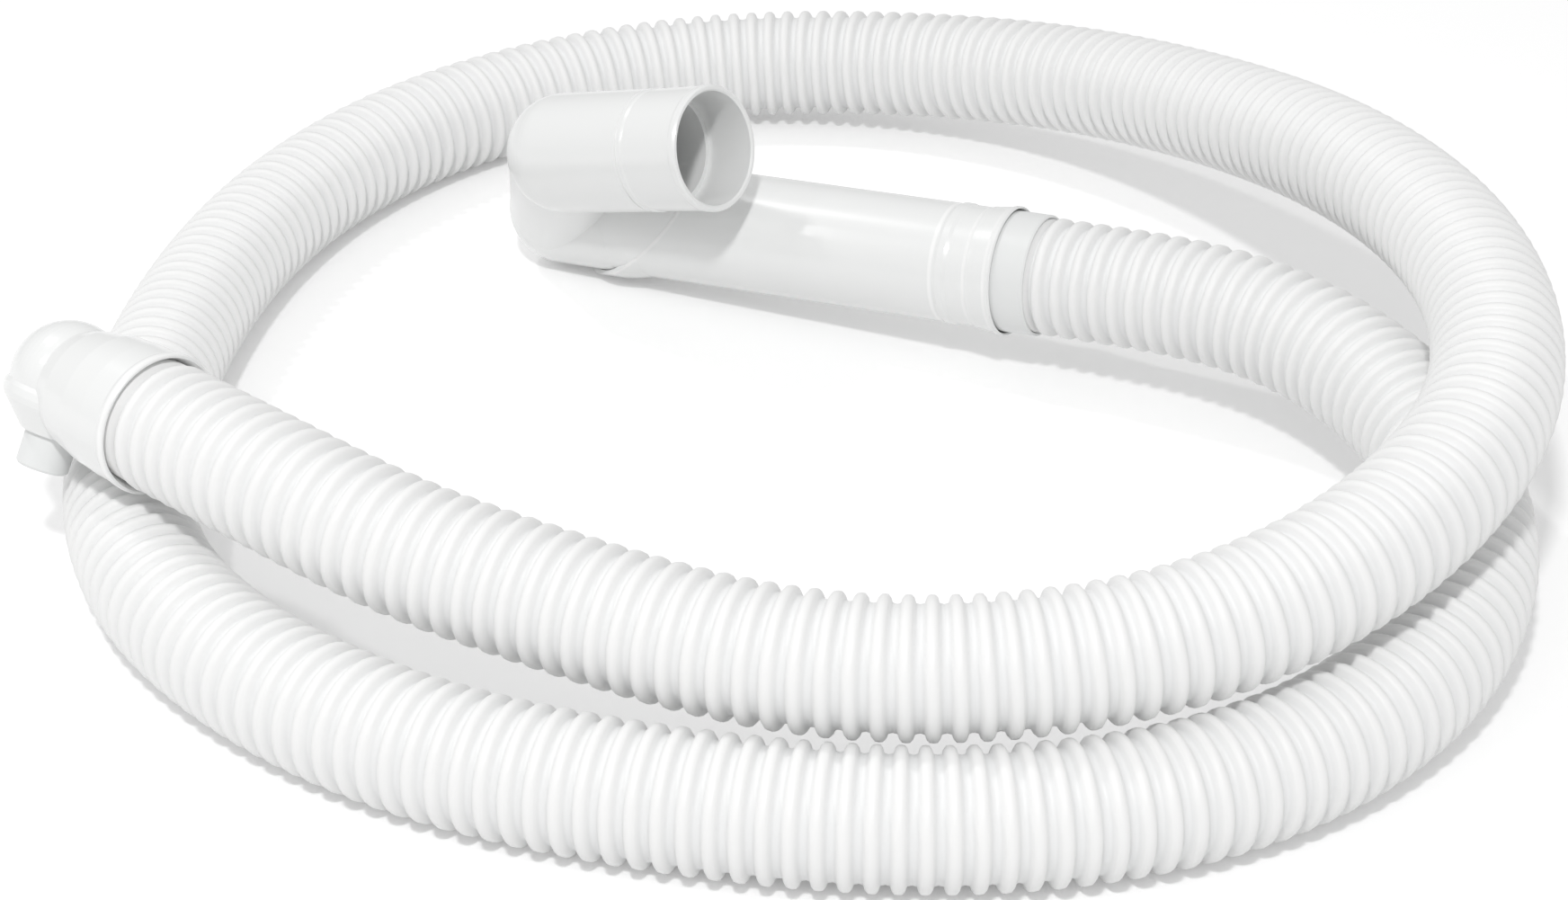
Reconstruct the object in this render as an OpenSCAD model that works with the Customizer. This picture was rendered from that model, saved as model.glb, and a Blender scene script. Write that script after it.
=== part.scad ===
// Corrugated vacuum hose for pools and spas, stored in a loose coil of about
// one and three quarter turns. One end carries a swivel tube with a return
// bend, the other a moulded elbow cuff with a short spigot. Millimetres, +Z up.

/* [Hose] */
// Outside diameter over the ribs
hose_d = 42; // [40:0.1:42]
// Radial depth of the grooves between the ribs
groove_depth = 1.8; // [0.6:0.1:2]
// Number of ribs between the two plain ends
rib_count = 200; // [80:1:200]
// Width across the corners of the hose's bore
hose_bore_d = 34.4; // [30:0.2:34.6]

/* [Swivel] */
// Radius of the collar's journal, which turns in the tube
journal_r = 19.45; // [19.4:0.01:19.48]
// Radius of the tube's bore round the journal
journal_bore_r = 19.5; // [19.5:0.01:19.52]
// Length of the journal inside the tube
journal_len = 37.5; // [34:0.5:38]
// Outside radius of the collar over the hose's end
collar_r = 21.6; // [21.2:0.1:21.8]
// Length of the collar that shows outside the bell
collar_out = 12; // [8:0.5:16]
// Radius of the flow bore through the collar
flow_r = 16; // [15:0.1:16.2]

/* [Straight tube] */
// Outside radius of the straight tube
tube_r = 21.5; // [21.2:0.1:22]
// Radius of the lip of the bell
bell_r = 23.2; // [22.9:0.1:23.6]
// Distance from the bell's rim to the middle of the slanted socket rim
tube_len = 152; // [150:0.5:153]
// Slant of the socket rim, in degrees
rim_slant = 51; // [48:1:52]
// Turn of the slanted rim about the tube, in degrees
rim_turn = 14; // [0:1:18]
// Outside radius of the flared socket
socket_r = 23.4; // [23.2:0.1:23.8]

/* [Return bend] */
// Distance from the bell's rim to the centre of the bend's lower dome
bend_at = 183.5; // [183:0.5:185]
// Height of the upper dome's centre over the tube's axis
bend_rise = 42; // [41:0.5:44]
// Distance of the upper dome's centre forward of the lower one
bend_step = 18; // [16:0.5:20]
// Direction of the arm, in degrees of turn from the tube
bend_turn = 164.5; // [162:0.5:166]
// Radius of the bend's lower leg
bend_leg_r = 21.4; // [21.2:0.1:21.5]
// Outside radius of the bend's arm
bend_tube_r = 21.9; // [21.6:0.1:22]
// Radius of the passage through the bend
bend_flow_r = 19; // [18.8:0.1:19.4]
// Lean of the bend's plane from upright, in degrees
bend_lean = 36; // [35:1:37]
// Straight arm from the upper dome's centre to the mouth
arm_len = 71; // [70:0.5:73]

/* [Mouth sleeve] */
// Length of the mouth sleeve
sleeve_len = 28; // [27:1:32]
// Radius of the socket in the mouth
mouth_r = 20.2; // [19.8:0.1:20.4]
// Depth of the socket in the mouth
mouth_depth = 20; // [16:1:20]

/* [Elbow cuff] */
// Outside radius of the cuff at its rim
cuff_r = 22.6; // [22.4:0.1:23]
// Distance from the cuff's rim to the elbow's centre
elbow_reach = 45; // [44:1:50]
// Radius of the elbow's dome
dome_r = 18.8; // [18.6:0.1:19]
// Lean of the elbow's outlet from straight down, in degrees
outlet_lean = 29; // [26:1:32]
// Outside radius of the spigot
spigot_r = 8.5; // [8:0.5:9]
// Distance from the elbow's centre to the end of the spigot
spigot_reach = 30; // [27:0.5:30]

/* [Hidden] */

$fn = 96;
hose_sides = 8;
hose_white = [0.95, 0.95, 0.94];
part_white = [0.90, 0.91, 0.90];
seal_grey = [0.45, 0.46, 0.47];

// Control points of the hose's centre line, in order from the swivel end to the
// elbow end. Both ends are straight and the lower run lies on the floor.
route = [
    [116, 58, 33.5], [152, 40, 36.5], [188, 22, 39.5], [223, 3, 42.5], [257, -22, 40],
    [285, -70, 35], [294, -137, 27], [264, -206, 21], [202, -258, 21], [123, -276, 21],
    [44, -264, 21], [-31, -240, 21], [-88, -198, 21], [-130, -142, 21], [-146, -70, 21],
    [-143, 16, 21], [-128, 100, 21], [-92, 175, 21], [-35, 229, 21], [38, 256, 23],
    [116, 249, 27], [187, 209, 38], [239, 135, 56], [278, 49, 74], [302, -38, 81],
    [299, -120, 78], [264, -186, 71], [208, -230, 61], [140, -249, 56], [69, -242, 57],
    [4, -210, 60], [-40, -190, 62], [-75, -166, 66], [-105, -139, 66], [-135, -112, 66],
    [-165, -85, 66]
];
spans = len(route) - 3;

// Point and direction of the uniform cubic spline at u, from 0 to spans.
function span_of(u) = min(floor(u), spans - 1);
function spline(u) =
    let (i = span_of(u), t = u - i, w = 1 - t)
    (w * w * w * route[i] + (3 * t * t * t - 6 * t * t + 4) * route[i + 1]
     + (1 + 3 * t + 3 * t * t - 3 * t * t * t) * route[i + 2] + t * t * t * route[i + 3]) / 6;
function slope(u) =
    let (i = span_of(u), t = u - i, w = 1 - t)
    (-w * w * route[i] + (3 * t * t - 4 * t) * route[i + 1]
     + (1 + 2 * t - 3 * t * t) * route[i + 2] + t * t * route[i + 3]) / 2;
function unit(v) = v / norm(v);

// Table of distance along the hose against u, and the hose's real length.
steps = 20;
arc = [for (k = 0, s = 0; k <= spans * steps;
            k = k + 1, s = s + (k <= spans * steps ? norm(spline(k / steps) - spline((k - 1) / steps)) : 0))
       [s, k / steps]];
hose_len = arc[len(arc) - 1][0];
function u_at(s) = lookup(s, arc);

// One ring of points round the hose at distance s, with a flat side underneath.
function hose_ring(s, r) =
    let (u = u_at(s), c = spline(u), d = unit(slope(u)), h = unit(cross([0, 0, 1], d)), v = cross(d, h))
    [for (k = [0 : hose_sides - 1])
        let (a = (k + 0.5) * 360 / hose_sides) c + r * (cos(a) * h + sin(a) * v)];

plain_a = collar_out + 3 + 1;
plain_b = 21;
plain_r = 20.2;
// The eight sides hold the area of the round hose.
across = sqrt(360 / hose_sides * PI / 180 / sin(360 / hose_sides));
crest_r = hose_d / 2 * across;
groove_r = (hose_d / 2 - groove_depth) * across;
pitch = (hose_len - plain_a - plain_b) / rib_count;
hose_skin = concat(
    [hose_ring(0, plain_r), hose_ring(plain_a, plain_r)],
    [for (k = [0 : rib_count - 1], half = [0, 1])
        hose_ring(plain_a + (k + 0.25 + half / 2) * pitch, half == 0 ? crest_r : groove_r)],
    [hose_ring(hose_len - plain_b, plain_r), hose_ring(hose_len, plain_r)]);
bore_rings = 96;
hose_lining = [for (k = [0 : bore_rings]) hose_ring(k * hose_len / bore_rings, hose_bore_d / 2)];

// Least gap between two stretches of the hose, measured from the corners and
// the middles of the sides of each crest to the flats of every other crest.
crests = [for (k = [0 : rib_count - 1]) hose_skin[2 + 2 * k]];
function mean(ring) = [1, 1, 1] * 0 + [for (a = [0 : 2]) [for (p = ring) p[a]] * [for (p = ring) 1] / len(ring)];
hubs = [for (c = crests) mean(c)];
function flats(ring, hub) =
    [for (k = [0 : hose_sides - 1]) unit((ring[k] + ring[(k + 1) % hose_sides]) / 2 - hub)];
flat_r = crest_r * cos(180 / hose_sides);
function outside(p, hub, normals) = max([for (n = normals) (p - hub) * n]) - flat_r;
apart = ceil(150 / pitch);
gaps = [for (i = [0 : rib_count - 1], j = [0 : rib_count - 1])
        if (abs(i - j) > apart && norm(hubs[i] - hubs[j]) < hose_d + 8)
        let (n = flats(crests[j], hubs[j]))
        min([for (k = [0 : hose_sides - 1], m = [0, 0.5])
             outside((1 - m) * crests[i][k] + m * crests[i][(k + 1) % hose_sides], hubs[j], n)])];
echo(hose_length = hose_len, rib_pitch = pitch, least_gap_to_itself = min(gaps));

// A closed tube from rings of points outside and inside, all as triangles.
function wall_faces(first, rings, sides, flip) =
    [for (j = [0 : rings - 2], k = [0 : sides - 1])
        let (a = first + j * sides + k, b = first + j * sides + (k + 1) % sides, c = a + sides, d = b + sides)
        each flip ? [[a, b, d], [a, d, c]] : [[a, d, b], [a, c, d]]];
function end_faces(outer, inner, sides, flip) =
    [for (k = [0 : sides - 1])
        let (a = outer + k, b = outer + (k + 1) % sides, c = inner + k, d = inner + (k + 1) % sides)
        each flip ? [[a, d, b], [a, c, d]] : [[a, b, d], [a, d, c]]];
module tube_shell(outside_rings, inside_rings) {
    sides = len(outside_rings[0]);
    inner = len(outside_rings) * sides;
    last_out = inner - sides;
    last_in = inner + (len(inside_rings) - 1) * sides;
    polyhedron(
        points = [for (r = concat(outside_rings, inside_rings)) each r],
        faces = concat(
            wall_faces(0, len(outside_rings), sides, false),
            wall_faces(inner, len(inside_rings), sides, true),
            end_faces(0, inner, sides, false),
            end_faces(last_out, last_in, sides, true)));
}

// Frame of the swivel end: X runs out of the bell along the hose, and Z points
// from the straight tube to the arm once the bend's lean is added.
seat_a = 3;
run_a = unit(route[2] - route[1]);
rim_a = route[1] + seat_a * run_a;
module at_a() {
    translate(rim_a) rotate([0, -asin(run_a[2]), atan2(run_a[1], run_a[0])]) children();
}
module at_bend() {
    at_a() rotate([bend_lean, 0, 0]) children();
}
// Frame of the elbow end: X runs from the cuff's rim into the elbow.
seat_b = 20;
run_b = unit(route[len(route) - 2] - route[len(route) - 3]);
rim_b = route[len(route) - 2] - seat_b * run_b;
module at_b() {
    translate(rim_b) rotate([0, 0, atan2(run_b[1], run_b[0])]) children();
}
// Frame of the elbow's outlet: Z points out of the elbow's centre.
module at_outlet() {
    at_b() translate([elbow_reach, 0, 0]) rotate([180 + outlet_lean, 0, 0]) children();
}

// A solid of revolution about X from [x, radius] points.
module revolve_x(outline) {
    rotate([90, 0, 90]) rotate_extrude() polygon([for (p = outline) [p[1], p[0]]]);
}
module ring_x(x, width, outer, inner) {
    revolve_x([[x, inner], [x + width, inner], [x + width, outer], [x, outer]]);
}

washer_t = 1.5;
shoulder_a = -seat_a - washer_t;
flange_a = shoulder_a - 2;
oring_x = -14;
oring_section = 1.12;
clip_x = -38;
journal_end = flange_a - journal_len;

module hose() {
    color(hose_white) tube_shell(hose_skin, hose_lining);
}

module collar_a() {
    color(part_white) at_a() revolve_x([
        [journal_end, flow_r], [shoulder_a, flow_r], [shoulder_a, plain_r + 0.1],
        [collar_out - 1, plain_r + 0.1], [collar_out, plain_r + 0.5],
        [collar_out, collar_r - 0.4], [collar_out - 0.6, collar_r],
        [flange_a + 0.4, collar_r], [flange_a, collar_r - 0.4],
        [flange_a, journal_r], [oring_x + 1.4, journal_r],
        [oring_x + 1.4, 17.15], [oring_x - 1.4, 17.15], [oring_x - 1.4, journal_r],
        [clip_x + 1.1, journal_r], [clip_x + 1.1, 17.6], [clip_x - 1.1, 17.6],
        [clip_x - 1.1, journal_r], [journal_end + 1, journal_r], [journal_end, journal_r - 1]]);
}

module washer_a() {
    color(seal_grey) at_a() ring_x(shoulder_a, washer_t, plain_r - 0.2, flow_r + 0.4);
}

module oring_a() {
    color(seal_grey) at_a() translate([oring_x, 0, 0]) rotate([90, 0, 90])
        rotate_extrude() translate([18.3, 0]) circle(r = oring_section, $fn = 48);
}

module clip_a() {
    color(seal_grey) at_a() difference() {
        ring_x(clip_x - 0.9, 1.8, 20.1, 17.75);
        translate([clip_x - 3, -3, 10]) cube([6, 6, 14]);
    }
}

module tube_a() {
    recess = flange_a - 0.5;
    color(part_white) difference() {
        at_a() revolve_x([
            [-tube_len - 32, socket_r], [-tube_len - 2, socket_r], [-tube_len + 3, socket_r - 0.6],
            [-tube_len + 9, tube_r], [-22.5, tube_r], [-21.2, tube_r + 0.45], [-18.8, tube_r + 0.45],
            [-17.5, tube_r], [-11, tube_r], [-9.6, tube_r + 0.45], [-8.4, tube_r + 0.5],
            [-6, tube_r + 0.8], [-3, bell_r - 0.5], [-1.6, bell_r], [-0.5, bell_r], [0, bell_r - 0.5],
            [0, 22.6], [-0.6, 22.2], [recess, 22.2], [recess, journal_bore_r],
            [clip_x + 2, journal_bore_r], [clip_x + 2, 20.3], [clip_x - 2, 20.3],
            [clip_x - 2, journal_bore_r], [journal_end - 1.5, journal_bore_r],
            [journal_end - 1.5, 18.6], [40 - tube_len, 18.6], [40 - tube_len, 19.5],
            [10 - tube_len, 19.5], [-4 - tube_len, 21.7], [-tube_len - 32, 21.7]]);
        at_rim() translate([-70, -60, -60]) cube([70, 120, 120]);
    }
}

// Frame of the socket's slanted rim: X points from the rim into the tube.
module at_rim() {
    at_bend() translate([-tube_len, 0, 0]) rotate([rim_turn, rim_slant, 0]) children();
}

// Frame of the arm: X runs from the upper dome's centre out of the mouth.
low_dome = [-bend_at, 0, 0];
high_dome = low_dome + [bend_step, 0, bend_rise];
module at_arm() {
    at_bend() translate(high_dome) rotate([0, bend_turn - 180, 0]) children();
}
module at_link() {
    at_bend() translate(low_dome) rotate([0, atan2(bend_step, bend_rise), 0]) children();
}
link_len = norm([bend_step, bend_rise]);
neck = arm_len - sleeve_len;
arm_tail = 5;

// Points of a dome of radius r whose centre is at x on the X axis and which
// closes a tube that comes from the +X side.
function back_dome(x, r) = [for (a = [0 : 6 : 84]) [x - r * sin(a), r * cos(a)], [x - r, 0]];

module u_bend() {
    color(part_white) difference() {
        union() {
            difference() {
                at_bend() revolve_x([[-100, 0], [-100, 22], [5 - tube_len, 22], [-10 - tube_len, 20.6],
                    [-10 - tube_len, 0]]);
                at_rim() translate([0, -60, -90]) cube([160, 120, 180]);
            }
            at_bend() revolve_x(concat([
                [40 - tube_len, 0], [40 - tube_len, 19.3], [9 - tube_len, 19.3], [-5 - tube_len, bend_leg_r]],
                back_dome(-bend_at, bend_leg_r)));
            at_link() cylinder(r = bend_tube_r - 0.8, h = link_len);
            at_arm() revolve_x(concat(
                [[neck + arm_tail, 0], [neck + arm_tail, 20.2], [neck, 20.2], [neck, bend_tube_r - 0.8],
                 [neck - 0.6, bend_tube_r]],
                back_dome(0, bend_tube_r)));
        }
        at_bend() revolve_x(concat([[41 - tube_len, 0], [41 - tube_len, 17.5], [8 - tube_len, 17.5],
            [-6 - tube_len, bend_flow_r]], back_dome(-bend_at, bend_flow_r)));
        at_link() cylinder(r = bend_flow_r - 0.9, h = link_len);
        at_arm() revolve_x(concat([[neck + arm_tail + 1, 0], [neck + arm_tail + 1, 18.4], [neck - 4, 18.4]],
            back_dome(0, bend_flow_r)));
    }
}

module sleeve_a() {
    web = sleeve_len - mouth_depth;
    color(part_white) at_arm() translate([neck, 0, 0]) revolve_x([
            [0, 20.4], [0, 21.7], [0.6, 22.1], [2.2, 22.1], [3.2, 21.8], [sleeve_len - 6, 22],
            [sleeve_len - 3.4, 22.1], [sleeve_len - 2.4, 22.4], [sleeve_len - 0.8, 22.4],
            [sleeve_len, 21.8], [sleeve_len, mouth_r + 0.6], [sleeve_len - 0.6, mouth_r],
            [web, mouth_r], [web, 18.4], [arm_tail, 18.4], [arm_tail, 20.4]]);
}

// Points of a dome of radius r whose centre is at x on the X axis.
function dome(x, r, from) = [for (a = [from : 6 : 84]) [x + r * sin(a), r * cos(a)], [x + r, 0]];

module elbow_b() {
    lip = 14.6;
    color(part_white) difference() {
        union() {
            at_b() revolve_x(concat(
                [[0, 0], [0, cuff_r], [0.8, cuff_r + 0.5], [2.4, cuff_r + 0.5], [3.6, cuff_r],
                 [12, cuff_r - 0.1], [22, cuff_r - 0.8], [28, cuff_r - 1.9], [33, 19.8]],
                dome(elbow_reach, dome_r, -18)));
            at_outlet() rotate_extrude() polygon([
                [0, 0], [17, 0], [17, 1.5], [dome_r + 0.5, 5.2], [dome_r + 0.6, 7.5], [18.4, 9.6],
                [11.4, 17.4], [10.6, 18.4], [0, 18.4]]);
        }
        at_b() revolve_x(concat(
            [[-1, 0], [-1, 22.1], [0, 22], [1, 21.6], [4.5, 20.5], [5, plain_r + 0.1],
             [seat_b + washer_t, plain_r + 0.1], [seat_b + washer_t, 15.8]],
            dome(elbow_reach, 15.8, 0)));
        at_outlet() cylinder(r = spigot_r - 2, h = 24);
        at_outlet() translate([0, 0, lip]) cylinder(r = spigot_r, h = 9);
    }
}

module washer_b() {
    color(seal_grey) at_b() ring_x(seat_b, washer_t, plain_r - 0.2, 16.4);
}

module spigot_b() {
    color(part_white) at_outlet() rotate_extrude() polygon([
        [spigot_r - 2, 14.6], [spigot_r, 14.6], [spigot_r, spigot_reach - 0.8],
        [spigot_r - 0.7, spigot_reach], [spigot_r - 2, spigot_reach]]);
}

hose();
collar_a();
washer_a();
oring_a();
clip_a();
tube_a();
u_bend();
sleeve_a();
elbow_b();
washer_b();
spigot_b();
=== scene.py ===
"""Looks of a corrugated suction hose: a loose coil, a swivel return bend and an elbow cuff."""
from __future__ import annotations

import logging
import math
from dataclasses import dataclass, field, replace
from enum import Enum
from typing import Any, Iterable, Mapping, Sequence, Union

import bmesh
import bpy
import numpy as np
from mathutils import Matrix, Vector


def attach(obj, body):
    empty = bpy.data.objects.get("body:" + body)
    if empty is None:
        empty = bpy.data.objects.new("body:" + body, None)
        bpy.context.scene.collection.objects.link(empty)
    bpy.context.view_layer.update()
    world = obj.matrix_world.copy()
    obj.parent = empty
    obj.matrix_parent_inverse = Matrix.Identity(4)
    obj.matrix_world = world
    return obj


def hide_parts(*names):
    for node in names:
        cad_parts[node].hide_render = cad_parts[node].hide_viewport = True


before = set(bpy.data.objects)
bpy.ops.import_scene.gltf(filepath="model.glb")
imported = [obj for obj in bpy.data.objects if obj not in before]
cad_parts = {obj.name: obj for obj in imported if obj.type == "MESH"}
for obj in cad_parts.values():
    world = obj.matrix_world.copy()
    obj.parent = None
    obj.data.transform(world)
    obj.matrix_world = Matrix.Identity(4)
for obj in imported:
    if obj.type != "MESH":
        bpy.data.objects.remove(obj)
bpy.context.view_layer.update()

LOG = logging.getLogger("vacuum_hose")
MM = 0.001
# A noise texture's mean, about which its clouds are spread.
NOISE_MEAN = 0.5

# The hose's control points in millimetres, from the swivel end to the elbow end.
ROUTE_MM: tuple[tuple[float, float, float], ...] = (
    (116, 58, 33.5), (152, 40, 36.5), (188, 22, 39.5), (223, 3, 42.5), (257, -22, 40),
    (285, -70, 35), (294, -137, 27), (264, -206, 21), (202, -258, 21), (123, -276, 21),
    (44, -264, 21), (-31, -240, 21), (-88, -198, 21), (-130, -142, 21), (-146, -70, 21),
    (-143, 16, 21), (-128, 100, 21), (-92, 175, 21), (-35, 229, 21), (38, 256, 23),
    (116, 249, 27), (187, 209, 38), (239, 135, 56), (278, 49, 74), (302, -38, 81),
    (299, -120, 78), (264, -185, 70), (208, -229, 59.5), (140, -248, 54.5), (69, -242, 53),
    (4, -210, 56), (-40, -190, 60.5), (-75, -166, 66), (-105, -139, 66), (-135, -112, 66),
    (-165, -85, 66),
)


# ---------------------------------------------------------------- node graphs
class Term:
    """A number in a node tree that takes part in plain Python arithmetic."""

    def __init__(self, graph: "Graph", socket: bpy.types.NodeSocket) -> None:
        """Keeps the tree and the output socket that holds the number."""
        self.graph = graph
        self.socket = socket

    def _math(self, operation: str, *values: "Number") -> "Term":
        """Adds one Math node.

        Args:
            operation: the Math node's operation.
            values: its inputs in order.

        Returns:
            The node's result as a term.
        """
        made = self.graph.node("ShaderNodeMath", {"operation": operation}, dict(enumerate(values)))
        return Term(self.graph, made.outputs[0])

    def __add__(self, other: "Number") -> "Term":
        """Sum."""
        return self._math("ADD", self, other)

    __radd__ = __add__

    def __sub__(self, other: "Number") -> "Term":
        """Difference."""
        return self._math("SUBTRACT", self, other)

    def __rsub__(self, other: "Number") -> "Term":
        """Difference with the number on the left."""
        return self._math("SUBTRACT", other, self)

    def __mul__(self, other: "Number") -> "Term":
        """Product."""
        return self._math("MULTIPLY", self, other)

    __rmul__ = __mul__

    def __truediv__(self, other: "Number") -> "Term":
        """Quotient."""
        return self._math("DIVIDE", self, other)

    def __pow__(self, other: "Number") -> "Term":
        """Power."""
        return self._math("POWER", self, other)

    def __mod__(self, other: "Number") -> "Term":
        """Remainder that stays positive."""
        return self._math("FLOORED_MODULO", self, other)

    def below(self, other: "Number") -> "Term":
        """1 where this is below the other number, and 0 elsewhere."""
        return self._math("LESS_THAN", self, other)

    def above(self, other: "Number") -> "Term":
        """1 where this is above the other number, and 0 elsewhere."""
        return self._math("GREATER_THAN", self, other)

    def least(self, other: "Number") -> "Term":
        """The smaller of the two numbers."""
        return self._math("MINIMUM", self, other)

    def most(self, other: "Number") -> "Term":
        """The larger of the two numbers."""
        return self._math("MAXIMUM", self, other)

    def size(self) -> "Term":
        """The number without its sign."""
        return self._math("ABSOLUTE", self)


Number = Union[Term, float, int]


class Graph:
    """A shader or geometry node tree that is built one node at a time."""

    def __init__(self, tree: bpy.types.NodeTree) -> None:
        """Keeps the tree."""
        self.tree = tree

    def node(
        self,
        kind: str,
        settings: Mapping[str, Any] | None = None,
        values: Mapping[Union[str, int], Any] | None = None,
    ) -> bpy.types.Node:
        """Adds a node, sets it up and joins its inputs.

        Args:
            kind: the node's type name.
            settings: attributes that are set before the inputs; "bends" fills a float curve.
            values: numbers, colours, sockets or terms for the inputs, by name or place.

        Returns:
            The new node.
        """
        made = self.tree.nodes.new(kind)
        for name, setting in (settings or {}).items():
            if name == "bends":
                curve = made.mapping.curves[0]
                while len(curve.points) < len(setting):
                    curve.points.new(0.5, 0.5)
                for point, place in zip(curve.points, setting):
                    point.location = place
                    point.handle_type = "VECTOR"
                made.mapping.update()
            else:
                setattr(made, name, setting)
        for name, value in (values or {}).items():
            target = made.inputs[name]
            if isinstance(value, Term):
                value = value.socket
            if isinstance(value, bpy.types.NodeSocket):
                self.tree.links.new(value, target)
            else:
                target.default_value = value
        return made

    def term(self, node: bpy.types.Node, output: Union[str, int] = 0) -> Term:
        """A node's output as a term."""
        return Term(self, node.outputs[output])

    def mix(self, factor: Number, first: Any, second: Any) -> bpy.types.NodeSocket:
        """Mixes two colours.

        Args:
            factor: 0 for the first colour, 1 for the second.
            first: a colour or a socket that gives one.
            second: the other colour.

        Returns:
            The mixed colour's socket.
        """
        # A Mix node has a set of inputs for each kind of data: 6, 7 and output 2 are for colours.
        made = self.node("ShaderNodeMix", {"data_type": "RGBA"},
                         {"Factor": factor, 6: first, 7: second})
        return made.outputs[2]


# ------------------------------------------------------------------- finishes
@dataclass(frozen=True)
class PaintedHighlight:
    """A painted highlight: a thin light line round a moulded piece, where a plane cuts it."""

    place: Vector
    normal: Vector
    half_width: float = 0.9 * MM

    def mark(self, graph: Graph, where: bpy.types.NodeSocket) -> Term:
        """The line's strength.

        Args:
            graph: the material's tree.
            where: the point on the surface.

        Returns:
            1 on the line, falling to 0 at its half width.
        """
        along = graph.node("ShaderNodeVectorMath", {"operation": "DOT_PRODUCT"},
                           {0: where, 1: self.normal})
        off = (graph.term(along, "Value") - self.place.dot(self.normal)) / self.half_width
        return (1.0 - off * off).most(0.0)


@dataclass(frozen=True)
class Finish:
    """A plastic or rubber surface with a little unevenness in its colour and gloss, which can also
    carry painted shade in grooves and painted highlight lines.
    """

    name: str
    slot: str
    colour: tuple[float, float, float]
    shade: tuple[float, float, float]
    roughness: float
    unevenness: float = 0.05
    cloud_scale: float = 28.0
    grain_scale: float = 1500.0
    grain: float = 0.02
    coat: float = 0.0
    # How much painted shade the grooves take: the colour runs towards the shade colour with the
    # groove depth stored on the mesh.
    groove: float = 0.0
    # Painted highlights: light lines of the next colour, mixed in at the next strength along
    # planes.
    painted_highlights: tuple[PaintedHighlight, ...] = ()
    highlight_colour: tuple[float, float, float] = (0.97, 0.97, 0.965)
    highlight_strength: float = 0.8
    cloud_detail: float = 4.0
    cloud_roughness: float = 0.55
    grain_detail: float = 2.0
    grain_strength: float = 0.35
    # The shade's share is this at the clouds' mean, and spreads about it by the next number.
    tint: float = 0.15
    tint_spread: float = 0.6
    # How fast the painted groove shade grows with depth.
    groove_shade_power: float = 1.5
    coat_roughness: float = 0.08

    def material(self) -> bpy.types.Material:
        """The finish as a material, made on its first use.

        Returns:
            The material of this name.
        """
        made = bpy.data.materials.get(self.name)
        if made is None:
            made = bpy.data.materials.new(self.name)
            made.use_nodes = True
            made.node_tree.nodes.clear()
            self._build(Graph(made.node_tree))
        return made

    def _build(self, graph: Graph) -> None:
        """Fills the material's tree.

        Args:
            graph: the empty tree.
        """
        place = graph.node("ShaderNodeTexCoord").outputs["Object"]
        clouds = graph.term(graph.node(
            "ShaderNodeTexNoise", {"noise_dimensions": "3D"},
            {"Vector": place, "Scale": self.cloud_scale, "Detail": self.cloud_detail,
             "Roughness": self.cloud_roughness}))
        grain = graph.term(graph.node(
            "ShaderNodeTexNoise", {"noise_dimensions": "3D"},
            {"Vector": place, "Scale": self.grain_scale, "Detail": self.grain_detail}))
        tint = (clouds - NOISE_MEAN) * self.tint_spread + self.tint
        # Painted shade: the deeper a point sits in a groove, the nearer its colour comes to the
        # shade colour.
        if self.groove > 0:
            depth = graph.node("ShaderNodeAttribute", {"attribute_name": "groove"})
            tint = tint + graph.term(depth, "Fac") ** self.groove_shade_power * self.groove
        colour = graph.mix(tint.most(0.0).least(1.0), (*self.colour, 1.0), (*self.shade, 1.0))
        # Paints each highlight line into the colour.
        for seam in self.painted_highlights:
            line = seam.mark(graph, place) * self.highlight_strength
            colour = graph.mix(line, colour, (*self.highlight_colour, 1.0))
        gloss = (clouds - NOISE_MEAN) * self.unevenness + self.roughness
        bump = graph.node("ShaderNodeBump", None, {
            "Strength": self.grain_strength, "Distance": self.grain * MM, "Height": grain})
        surface = graph.node("ShaderNodeBsdfPrincipled", None, {
            "Base Color": colour, "Roughness": gloss, "Normal": bump.outputs[0],
            "Coat Weight": self.coat, "Coat Roughness": self.coat_roughness})
        graph.node("ShaderNodeOutputMaterial", None, {"Surface": surface.outputs[0]})


# The hose's wall, with painted shade in its grooves.
HOSE_WALL = Finish("Hose_wall", "hose", (0.9, 0.9, 0.895), (0.83, 0.835, 0.835), 0.5,
                   groove=0.8)
FITTING = Finish("Moulded_fitting", "fitting", (0.87, 0.876, 0.871), (0.84, 0.848, 0.844), 0.3,
                 cloud_scale=16.0, grain=0.01, coat=0.5)
# A darker grey finish: on collar_a it is painted shade, the shadow of the bell's flange on the
# recessed collar; spigot_b takes the same darker grey.
COLLAR = Finish("Collar_painted_shade", "fitting", (0.81, 0.82, 0.816), (0.78, 0.79, 0.786), 0.36,
                cloud_scale=16.0, grain=0.01)
SEAL = Finish("Seal_rubber", "seal", (0.12, 0.12, 0.125), (0.07, 0.07, 0.075), 0.62)
CLIP = Finish("Clip_nylon", "clip", (0.75, 0.755, 0.745), (0.7, 0.7, 0.69), 0.48)


def dress(piece: bpy.types.Object, finish: Finish) -> None:
    """Gives a piece one finish.

    Args:
        piece: the object to dress.
        finish: what it is made of.
    """
    piece.data.materials.clear()
    piece.data.materials.append(finish.material())


class Body(Enum):
    """The bodies that the pieces ride on."""

    HOSE = "hose_run"
    TUBE = "swivel_tube"


def upright_axes(along: Vector) -> tuple[Vector, Vector]:
    """The level direction and the rising one that are square to a direction."""
    level = Vector((0, 0, 1)).cross(along).normalized()
    return level, along.cross(level)


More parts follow.
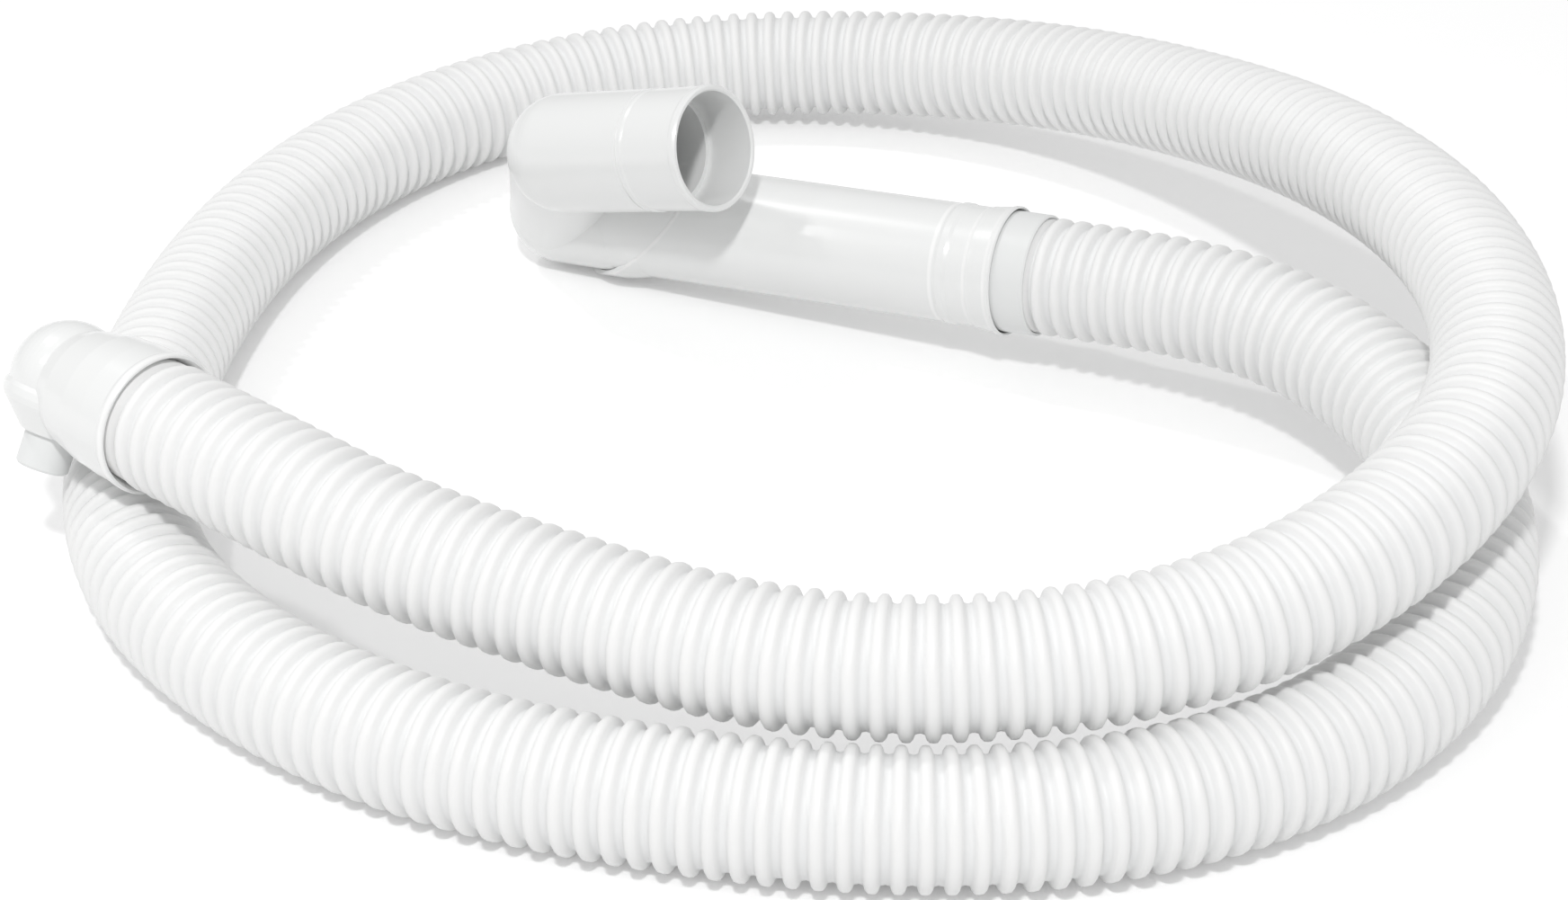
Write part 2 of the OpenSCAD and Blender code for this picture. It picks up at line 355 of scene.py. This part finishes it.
# ----------------------------------------------------------------------- hose
@dataclass
class HoseLine:
    """The hose's centre line, a uniform cubic spline with its distances."""

    route: np.ndarray
    steps: int = 60
    heading_step: float = 1e-4
    _u: np.ndarray = field(init=False)
    _s: np.ndarray = field(init=False)

    def __post_init__(self) -> None:
        """Measures the line."""
        spans = len(self.route) - 3
        self._u = np.linspace(0.0, spans, spans * self.steps + 1)
        points = self.point(self._u)
        gaps = np.linalg.norm(np.diff(points, axis=0), axis=1)
        self._s = np.concatenate(([0.0], np.cumsum(gaps)))

    @property
    def length(self) -> float:
        """The whole length."""
        return float(self._s[-1])

    def _weights(self, u: np.ndarray) -> tuple[np.ndarray, np.ndarray]:
        """Span index and place in the span for each u."""
        i = np.minimum(np.floor(u).astype(int), len(self.route) - 4)
        return i, u - i

    def point(self, u: np.ndarray) -> np.ndarray:
        """Points of the line at the spline's own parameter.

        Args:
            u: the parameter, which grows by 1 over each span.

        Returns:
            One point for each u.
        """
        i, t = self._weights(np.asarray(u, dtype=float))
        w = 1.0 - t
        parts = (w ** 3, 3 * t ** 3 - 6 * t ** 2 + 4, 1 + 3 * t + 3 * t ** 2 - 3 * t ** 3, t ** 3)
        return sum(p[:, None] * self.route[i + k] for k, p in enumerate(parts)) / 6.0

    def at(self, s: np.ndarray) -> np.ndarray:
        """Points at distances along the line."""
        return self.point(np.interp(np.asarray(s, dtype=float), self._s, self._u))

    def heading(self, s: float) -> np.ndarray:
        """Unit direction of the line.

        Args:
            s: the distance along the line.

        Returns:
            The direction towards the elbow end.
        """
        near = np.clip([s - self.heading_step, s + self.heading_step], 0.0, self.length)
        a, b = self.at(near)
        return (b - a) / np.linalg.norm(b - a)


def new_object(name: str, mesh: bpy.types.Mesh) -> bpy.types.Object:
    """Puts a mesh into the scene as an object at the origin.

    Args:
        name: the object's name.
        mesh: its mesh.

    Returns:
        The object.
    """
    made = bpy.data.objects.new(name, mesh)
    bpy.context.scene.collection.objects.link(made)
    return made


@dataclass
class Hose:
    """The corrugated hose, swept along its line by a node tree."""

    line: HoseLine
    ribs: int = 315
    rings_per_rib: int = 8
    sides: int = 32
    crest: float = 21.0 * MM
    groove: float = 2.8 * MM
    plain: float = 20.2 * MM
    bore: float = 17.2 * MM
    plain_a: float = 16.0 * MM
    plain_b: float = 21.0 * MM
    lining_rings: int = 200
    # Plain rings before the first rib, and as many after the last.
    end_rings: int = 2
    line_points: int = 2400
    path_points: int = 400
    exit_reach: float = 0.015
    # How far from the groove each ring of a rib lies, and how deep, from groove to crest.
    rib_reach: tuple[tuple[float, float], ...] = (
        (0.0, 0.0), (0.25, 0.18), (0.5, 0.25), (0.75, 0.35), (1.0, 0.5))
    rib_depth: tuple[tuple[float, float], ...] = (
        (0.0, 1.0), (0.25, 0.88), (0.5, 0.35), (0.75, 0.06), (1.0, 0.0))

    def _tree(self) -> bpy.types.GeometryNodeTree:
        """Builds the node tree that sweeps the ribbed wall.

        Returns:
            The tree, with its sizes as named inputs.
        """
        tree = bpy.data.node_groups.new("Ribbed_wall", "GeometryNodeTree")
        face = tree.interface
        face.new_socket(name="Geometry", in_out="INPUT", socket_type="NodeSocketGeometry")
        face.new_socket(name="Line", in_out="INPUT", socket_type="NodeSocketObject")
        face.new_socket(name="Material", in_out="INPUT", socket_type="NodeSocketMaterial")
        for name in ("Ribs", "Rings per rib", "Sides"):
            face.new_socket(name=name, in_out="INPUT", socket_type="NodeSocketInt")
        for name in ("Length", "Crest radius", "Groove depth", "Plain radius",
                     "Ribs start", "Ribs end"):
            face.new_socket(name=name, in_out="INPUT", socket_type="NodeSocketFloat")
        face.new_socket(name="Geometry", in_out="OUTPUT", socket_type="NodeSocketGeometry")
        graph = Graph(tree)
        given = graph.node("NodeGroupInput")

        def size(name: str) -> Term:
            """A named input as a term."""
            return graph.term(given, name)

        line = graph.node("GeometryNodeObjectInfo", {"transform_space": "RELATIVE"},
                          {"Object": given.outputs["Line"]}).outputs["Geometry"]
        rings = size("Ribs") * size("Rings per rib")
        lead = float(self.end_rings)
        count = rings + (2.0 * lead + 1.0)
        blank = graph.node("GeometryNodeResampleCurve", None, {"Curve": line, "Count": count})
        index = graph.term(graph.node("GeometryNodeInputIndex"))
        ring = (index - lead).most(0.0).least(rings)
        span = size("Ribs end") - size("Ribs start")
        first = index.below(0.5)
        last = index.above(rings + (2.0 * lead - 0.5))
        step = ring / size("Rings per rib")
        phase = step % 1.0
        climb = 1.0 - (phase * 2.0 - 1.0).size()
        reach = graph.term(graph.node(
            "ShaderNodeFloatCurve", {"bends": self.rib_reach}, {"Value": climb}))
        late = phase.above(0.5)
        shift = reach + late * (1.0 - reach * 2.0) - phase
        distance = size("Ribs start") + (step + shift) / size("Ribs") * span
        tail = size("Length") - size("Ribs end")
        distance = distance - size("Ribs start") * first + tail * last
        sample = graph.node("GeometryNodeSampleCurve", {"mode": "LENGTH", "data_type": "FLOAT"},
                            {"Curves": line, "Length": distance})
        placed = graph.node("GeometryNodeSetPosition", None, {
            "Geometry": blank.outputs[0], "Position": sample.outputs["Position"]})
        sunk = graph.term(graph.node(
            "ShaderNodeFloatCurve", {"bends": self.rib_depth}, {"Value": climb}))
        plain = (index.below(lead - 0.5) + index.above(rings + (lead + 0.5))).least(1.0)
        radius = size("Crest radius") - size("Groove depth") * sunk
        radius = radius * (1.0 - plain) + size("Plain radius") * plain
        # Stores each ring's depth into its groove, which the hose's finish uses to paint shade
        # into the grooves.
        marked = graph.node(
            "GeometryNodeStoreNamedAttribute", {"data_type": "FLOAT", "domain": "POINT"},
            {"Geometry": placed.outputs[0], "Name": "groove", "Value": sunk * (1.0 - plain)})
        sized = graph.node("GeometryNodeSetCurveRadius", None, {
            "Curve": marked.outputs[0], "Radius": radius})
        upright = graph.node("GeometryNodeSetCurveNormal", {"mode": "Z_UP"}, {
            "Curve": sized.outputs[0]})
        circle = graph.node("GeometryNodeCurvePrimitiveCircle", {"mode": "RADIUS"}, {
            "Resolution": size("Sides"), "Radius": 1.0})
        swept = graph.node("GeometryNodeCurveToMesh", None, {
            "Curve": upright.outputs[0], "Profile Curve": circle.outputs[0],
            "Scale": graph.node("GeometryNodeInputRadius").outputs[0]})
        real = graph.node("GeometryNodeRealizeInstances", None, {"Geometry": swept.outputs[0]})
        smooth = graph.node("GeometryNodeSetShadeSmooth", None, {"Geometry": real.outputs[0]})
        coated = graph.node("GeometryNodeSetMaterial", None, {
            "Geometry": smooth.outputs[0], "Material": given.outputs["Material"]})
        graph.node("NodeGroupOutput", None, {"Geometry": coated.outputs[0]})
        return tree

    def _line_object(self) -> bpy.types.Object:
        """Makes the centre line as a curve of one open poly spline.

        Returns:
            The curve's object, which is in the scene.
        """
        points = self.line.at(np.linspace(0.0, self.line.length, self.line_points))
        curve = bpy.data.curves.new("hose_line", "CURVE")
        curve.dimensions = "3D"
        spline = curve.splines.new("POLY")
        spline.points.add(len(points) - 1)
        spline.points.foreach_set("co", np.c_[points, np.ones(len(points))].ravel())
        made = bpy.data.objects.new("hose_line", curve)
        bpy.context.scene.collection.objects.link(made)
        return made

    def _sweep(self, name: str, values: Mapping[str, Any]) -> bpy.types.Mesh:
        """Runs the tree once and returns its plain mesh.

        Args:
            name: the mesh's name.
            values: the tree's inputs by name.

        Returns:
            The wall's mesh, which no modifier holds any more.
        """
        tree = bpy.data.node_groups.get("Ribbed_wall") or self._tree()
        host = new_object(name + "_host", bpy.data.meshes.new(name + "_host"))
        modifier = host.modifiers.new("Ribbed_wall", "NODES")
        modifier.node_group = tree
        for item in tree.interface.items_tree:
            if item.in_out == "INPUT" and item.name in values:
                modifier[item.identifier] = values[item.name]
        bpy.context.view_layer.update()
        evaluated = host.evaluated_get(bpy.context.evaluated_depsgraph_get())
        mesh = bpy.data.meshes.new_from_object(evaluated)
        host.modifiers.remove(modifier)
        bpy.data.objects.remove(host)
        mesh.name = name
        return mesh

    def build(self) -> bpy.types.Object:
        """Returns:
            The hose's object.
        """
        path = self._line_object()
        mesh = self._sweep("hose_wall", {
            "Line": path, "Material": HOSE_WALL.material(), "Ribs": self.ribs,
            "Rings per rib": self.rings_per_rib, "Sides": self.sides, "Length": self.line.length,
            "Crest radius": self.crest, "Groove depth": self.groove, "Plain radius": self.plain,
            "Ribs start": self.plain_a, "Ribs end": self.line.length - self.plain_b})
        self._line_and_close(mesh)
        bpy.data.objects.remove(path)
        hose = new_object("hose_wall", mesh)
        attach(hose, Body.HOSE.value)
        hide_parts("hose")
        exit_point = self.line.at(np.array([0.0]))[0] + self.line.heading(0.0) * self.exit_reach
        path_at = np.linspace(0.0, self.line.length, self.path_points)
        [tuple(p) for p in self.line.at(path_at)]
        return hose

    def _line_and_close(self, mesh: bpy.types.Mesh) -> None:
        """Adds the smooth bore and joins it to the wall at both ends.

        Args:
            mesh: the swept wall, ring by ring.
        """
        work = bmesh.new()
        work.from_mesh(mesh)
        sides = self.sides
        ends = [e for e in work.edges if len(e.link_faces) == 1]
        loops = _edge_loops(ends)
        first = Vector(self.line.at(np.array([0.0]))[0])
        loops.sort(key=lambda ring: (first - ring[0].co).length)
        start, finish = loops[0], loops[1]
        rings = []
        for s in np.linspace(0.0, self.line.length, self.lining_rings):
            centre = Vector(self.line.at(np.array([s]))[0])
            rings.append((centre, *upright_axes(Vector(self.line.heading(float(s))))))
        angles = [_bearing(v.co, *rings[0]) for v in start]
        lining = []
        for centre, level, rise in rings:
            lining.append([
                work.verts.new(centre + self.bore * (math.cos(a) * level + math.sin(a) * rise))
                for a in angles])
        faces = []
        for one, two in zip(lining, lining[1:]):
            for k in range(sides):
                n = (k + 1) % sides
                faces.append(work.faces.new((one[k], one[n], two[n], two[k])))
        ordered = []
        for a in angles:
            ordered.append(min(
                finish, key=lambda v: _turn_between(a, _bearing(v.co, *rings[-1]))))
        for k in range(sides):
            n = (k + 1) % sides
            faces.append(work.faces.new((start[k], start[n], lining[0][n], lining[0][k])))
            faces.append(work.faces.new((ordered[n], ordered[k], lining[-1][k], lining[-1][n])))
        for made in faces:
            made.smooth = True
        bmesh.ops.recalc_face_normals(work, faces=work.faces)
        work.to_mesh(mesh)
        work.free()


def _bearing(corner: Vector, centre: Vector, level: Vector, rise: Vector) -> float:
    """A corner's angle round a ring's centre, from the level direction."""
    return math.atan2((corner - centre).dot(rise), (corner - centre).dot(level))


def _turn_between(a: float, b: float) -> float:
    """The smallest angle between two directions."""
    return abs((a - b + math.pi) % (2 * math.pi) - math.pi)


def _edge_loops(edges: Iterable[bmesh.types.BMEdge]) -> list[list[bmesh.types.BMVert]]:
    """Sorts open edges into closed rings of corners.

    Args:
        edges: the open edges.

    Returns:
        One list of corners in order for each ring.
    """
    left = set(edges)
    rings = []
    while left:
        edge = left.pop()
        ring = [edge.verts[0], edge.verts[1]]
        while True:
            following = [e for e in ring[-1].link_edges if e in left]
            if not following:
                break
            left.discard(following[0])
            ring.append(following[0].other_vert(ring[-1]))
        rings.append(ring[:-1] if ring[-1] == ring[0] else ring)
    return rings


# ------------------------------------------------------------------- the rest
class EndFrame:
    """Places and directions on an end fitting, in millimetres from its rim along the hose."""

    def __init__(self, inner: Sequence[float], outer: Sequence[float], reach: float,
                 lean: float = 0.0) -> None:
        """Works the axes out.

        Args:
            inner: the control point that the rim is measured from.
            outer: a point further along the hose's axis.
            reach: how far the rim lies from the inner point towards the outer one.
            lean: how far the fitting is turned about its axis, in degrees.
        """
        self.along = (Vector(outer) - Vector(inner)).normalized()
        self.rim = Vector(inner) + reach * self.along
        level, rise = upright_axes(self.along)
        turn = math.radians(lean)
        self.side = math.cos(turn) * level + math.sin(turn) * rise
        self.top = math.cos(turn) * rise - math.sin(turn) * level

    def way(self, x: float, z: float) -> Vector:
        """A direction from its parts along the axis and towards the top."""
        return (x * self.along + z * self.top).normalized()

    def seam(self, x: float, z: float, normal: Vector) -> PaintedHighlight:
        """A painted highlight line through a place, square to a direction."""
        return PaintedHighlight((self.rim + x * self.along + z * self.top) * MM, normal)


@dataclass
class Fittings:
    """The moulded ends, their seals and the clip. Lengths are in millimetres, turns in degrees."""

    moulded: Sequence[str] = ("u_bend",)
    # Pieces in the darker grey finish, which is painted shade on collar_a.
    greyer: Sequence[str] = ("collar_a", "spigot_b")
    lean: float = 36.0
    tube_rim: float = 3.0
    tube_end: float = -151.0
    rim_slant: float = 51.0
    bend_turn: float = 164.5
    arm_start: tuple[float, float] = (-165.5, 42.0)
    arm_neck: float = 43.0
    # Where painted highlight lines cross the bell and its beads.
    bell_highlights: Sequence[float] = (-23.6, -10.6, -2.4)
    cuff_back: float = 20.0
    # Where a painted highlight line runs round the cuff's lip.
    cuff_highlight: float = -1.2
    seals: Sequence[str] = ("washer_a", "oring_a", "washer_b")
    clips: Sequence[str] = ("clip_a",)

    def build(self) -> list[bpy.types.Object]:
        """Dresses the solids that keep their shape.

        Returns:
            The dressed objects.
        """
        tube = EndFrame(ROUTE_MM[1], ROUTE_MM[2], self.tube_rim, self.lean)
        cuff = EndFrame(ROUTE_MM[-2], ROUTE_MM[-3], self.cuff_back)
        slant = math.radians(self.rim_slant)
        turn = math.radians(self.bend_turn)
        arm = tube.way(-math.cos(turn), math.sin(turn))
        sleeve = Vector((self.arm_start[0] - self.arm_neck * math.cos(turn),
                         self.arm_start[1] + self.arm_neck * math.sin(turn)))
        # Painted highlights: light lines across the bell, along the tube's slanted rim, round the
        # sleeve's edge and round the cuff's lip.
        highlight_lines = [tube.seam(x, 0.0, tube.along) for x in self.bell_highlights]
        highlight_lines.append(tube.seam(self.tube_end, 0.0, tube.way(math.cos(slant), -math.sin(slant))))
        tube_finish = replace(FITTING, name="Moulded_tube", painted_highlights=tuple(highlight_lines))
        sleeve_finish = replace(FITTING, name="Moulded_sleeve", painted_highlights=(tube.seam(*sleeve, arm),))
        elbow_finish = replace(FITTING, name="Moulded_elbow",
                               painted_highlights=(cuff.seam(self.cuff_highlight, 0.0, cuff.along),))
        done = []
        for names, finish in ((self.moulded, FITTING), (("tube_a",), tube_finish),
                              (("sleeve_a",), sleeve_finish), (("elbow_b",), elbow_finish),
                              (self.greyer, COLLAR), (self.seals, SEAL), (self.clips, CLIP)):
            for name in names:
                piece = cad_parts[name]
                dress(piece, finish)
                done.append(piece)
        return done


@dataclass(frozen=True)
class Lamp:
    """A flat soft lamp: where it hangs, its width and length, and its power in watts."""

    name: str
    place: tuple[float, float, float]
    size: tuple[float, float]
    watts: float
    # Roughly the direction of its length.
    long_way: tuple[float, float, float] = (0.0, 0.0, 1.0)


@dataclass
class Studio:
    """The camera, the floor and the lamps."""

    place: tuple[float, float, float] = (0.073, -1.068, 0.594)
    tilt: float = 29.66
    lens: float = 80.09
    target: tuple[float, float, float] = (0.07, 0.0, 0.03)
    sky: float = 0.57
    glow: float = 0.2
    sensor: float = 36.0
    farthest: float = 50.0
    floor_half: float = 6.0
    paper: float = 0.9
    lamps: tuple[Lamp, ...] = (
        Lamp("Key", (-1.07, 0.66, 1.91), (0.14, 0.14), 7.5),
        Lamp("Front", (-0.08, -1.38, 1.74), (0.14, 0.14), 18.5),
        Lamp("Strip", (-0.62, -0.27, 0.67), (0.015, 0.3), 0.22, (-0.26, -0.61, -0.61)),
    )

    def camera(self) -> None:
        """Makes the camera that frames the coil."""
        data = bpy.data.cameras.new("Camera")
        data.sensor_width = self.sensor
        data.lens = self.lens
        data.clip_end = self.farthest
        made = bpy.data.objects.new("Camera", data)
        made.location = self.place
        made.rotation_euler = (math.radians(90.0 - self.tilt), 0.0, 0.0)
        bpy.context.scene.collection.objects.link(made)
        bpy.context.scene.camera = made

    def floor(self) -> None:
        """Makes the white floor, which keeps the shadows."""
        mesh = bpy.data.meshes.new("floor")
        half = self.floor_half
        corners = [(-half, -half, 0), (half, -half, 0), (half, half, 0), (-half, half, 0)]
        mesh.from_pydata(corners, [], [(0, 1, 2, 3)])
        made = new_object("floor", mesh)
        material = bpy.data.materials.new("Floor_paper")
        material.use_nodes = True
        material.node_tree.nodes.clear()
        graph = Graph(material.node_tree)
        white = (self.paper, self.paper, self.paper, 1.0)
        paper = graph.node("ShaderNodeBsdfDiffuse", None, {"Color": white})
        glow = graph.node("ShaderNodeEmission", None,
                          {"Color": (1, 1, 1, 1), "Strength": self.glow})
        both = graph.node("ShaderNodeAddShader", None, {0: paper.outputs[0], 1: glow.outputs[0]})
        rays = graph.node("ShaderNodeLightPath")
        seen = graph.term(rays, "Is Camera Ray").most(graph.term(rays, "Is Glossy Ray"))
        pick = graph.node("ShaderNodeMixShader", None,
                          {0: seen, 1: paper.outputs[0], 2: both.outputs[0]})
        graph.node("ShaderNodeOutputMaterial", None, {"Surface": pick.outputs[0]})
        mesh.materials.append(material)

    def hang(self, lamp: Lamp) -> None:
        """Hangs a lamp so that it faces the middle of the coil.

        Args:
            lamp: the lamp.
        """
        data = bpy.data.lights.new(lamp.name, "AREA")
        data.shape = "RECTANGLE"
        data.size, data.size_y = lamp.size
        data.energy = lamp.watts
        made = bpy.data.objects.new(lamp.name, data)
        back = (Vector(lamp.place) - Vector(self.target)).normalized()
        across = Vector(lamp.long_way).cross(back).normalized()
        turn = Matrix((across, back.cross(across), back)).transposed()
        made.matrix_world = Matrix.Translation(lamp.place) @ turn.to_4x4()
        bpy.context.scene.collection.objects.link(made)

    def world(self) -> None:
        """Makes the even light all round, which a viewer sees as white."""
        world = bpy.data.worlds.new("Studio")
        bpy.context.scene.world = world
        world.use_nodes = True
        world.node_tree.nodes.clear()
        graph = Graph(world.node_tree)
        rays = graph.node("ShaderNodeLightPath")
        seen = graph.term(rays, "Is Camera Ray")
        strength = seen * (1.0 - self.sky) + self.sky
        sky = graph.node("ShaderNodeBackground", None,
                         {"Color": (1, 1, 1, 1), "Strength": strength})
        graph.node("ShaderNodeOutputWorld", None, {"Surface": sky.outputs[0]})

    def build(self) -> None:
        """Sets the whole studio up."""
        bpy.context.scene.view_settings.view_transform = "Standard"
        self.floor()
        self.world()
        for lamp in self.lamps:
            self.hang(lamp)


def main() -> None:
    """Builds the camera, the hose, the fittings and the studio, in this order."""
    logging.basicConfig(level=logging.INFO, format="%(name)s: %(message)s")
    studio = Studio()
    studio.camera()
    hose = Hose(HoseLine(np.array(ROUTE_MM, dtype=float) * MM)).build()
    LOG.info("%s: %d faces", hose.name, len(hose.data.polygons))
    for piece in Fittings().build():
        LOG.info("%s: %d faces", piece.name, len(piece.data.polygons))
    studio.build()


if __name__ == "__main__":
    main()
